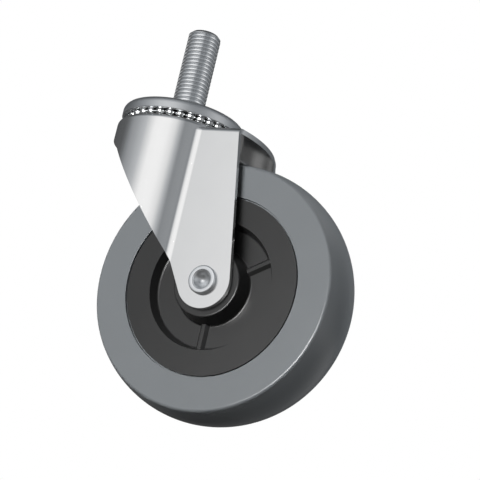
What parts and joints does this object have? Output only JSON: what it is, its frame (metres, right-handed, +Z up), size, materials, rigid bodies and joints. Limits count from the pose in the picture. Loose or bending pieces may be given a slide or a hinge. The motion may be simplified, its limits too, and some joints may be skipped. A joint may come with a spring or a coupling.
{
  "type": "swivel castor",
  "caption": "Swivel castor with a threaded stem, a double ball race, a pressed steel fork and a grey-tyred wheel on a riveted axle.",
  "frame": {"origin": "on the stem's axis, in the flat top face of the upper race cap, which seats against the furniture", "axes": "+Z up the stem, +X the way the wheel trails behind the stem, Y along the axle"},
  "size_m": [0.0828, 0.0384, 0.1181],
  "materials": {
    "zinc_stem": "bright zinc plate on a rolled thread",
    "zinc_race": "bright zinc plate on pressed and hardened steel",
    "zinc_fork": "bright zinc plate on pressed sheet steel",
    "rivet_steel": "bright plated rivet, rolled over at one end",
    "sleeve_steel": "plain drawn steel tube, lightly oiled",
    "ball_steel": "polished bearing balls",
    "core_plastic": "moulded black plastic with a soft sheen",
    "tyre_rubber": "smooth grey non-marking rubber"
  },
  "bodies": {
    "mounting": {"threaded_stem": "zinc_stem", "top_race_cap": "zinc_race", "lower_race_cup": "zinc_race"},
    "fork_body": {"fork": "zinc_fork", "axle_rivet": "rivet_steel", "axle_sleeve": "sleeve_steel"},
    "wheel_body": {"wheel_core": "core_plastic", "tyre": "tyre_rubber"},
    "upper_ring": {"upper_ball_01": "ball_steel", "upper_ball_02": "ball_steel", "upper_ball_03": "ball_steel", "upper_ball_04": "ball_steel", "upper_ball_05": "ball_steel", "upper_ball_06": "ball_steel", "upper_ball_07": "ball_steel", "upper_ball_08": "ball_steel", "upper_ball_09": "ball_steel", "upper_ball_10": "ball_steel", "upper_ball_11": "ball_steel", "upper_ball_12": "ball_steel", "upper_ball_13": "ball_steel", "upper_ball_14": "ball_steel", "upper_ball_15": "ball_steel", "upper_ball_16": "ball_steel", "upper_ball_17": "ball_steel", "upper_ball_18": "ball_steel", "upper_ball_19": "ball_steel", "upper_ball_20": "ball_steel", "upper_ball_21": "ball_steel", "upper_ball_22": "ball_steel", "upper_ball_23": "ball_steel", "upper_ball_24": "ball_steel", "upper_ball_25": "ball_steel", "upper_ball_26": "ball_steel", "upper_ball_27": "ball_steel", "upper_ball_28": "ball_steel", "upper_ball_29": "ball_steel", "upper_ball_30": "ball_steel", "upper_ball_31": "ball_steel", "upper_ball_32": "ball_steel", "upper_ball_33": "ball_steel"},
    "lower_ring": {"lower_ball_01": "ball_steel", "lower_ball_02": "ball_steel", "lower_ball_03": "ball_steel", "lower_ball_04": "ball_steel", "lower_ball_05": "ball_steel", "lower_ball_06": "ball_steel", "lower_ball_07": "ball_steel", "lower_ball_08": "ball_steel", "lower_ball_09": "ball_steel", "lower_ball_10": "ball_steel", "lower_ball_11": "ball_steel", "lower_ball_12": "ball_steel", "lower_ball_13": "ball_steel", "lower_ball_14": "ball_steel"}
  },
  "joints": [
    {"name": "swivel", "type": "hinge", "parent": "mounting", "child": "fork_body", "pos_m": [0, 0, 0], "axis": [0, 0, 1], "continuous": true},
    {"name": "wheel_spin", "type": "hinge", "parent": "fork_body", "child": "wheel_body", "pos_m": [0.0261, 0, -0.0526], "axis": [0, 1, 0], "continuous": true},
    {"name": "upper_ring_roll", "type": "hinge", "parent": "mounting", "child": "upper_ring", "pos_m": [0, 0, 0], "axis": [0, 0, 1], "continuous": true},
    {"name": "lower_ring_roll", "type": "hinge", "parent": "mounting", "child": "lower_ring", "pos_m": [0, 0, 0], "axis": [0, 0, 1], "continuous": true}
  ],
  "couplings": [
    {"joint": "upper_ring_roll", "follows": "swivel", "ratio": 0.5},
    {"joint": "lower_ring_roll", "follows": "swivel", "ratio": 0.5}
  ]
}
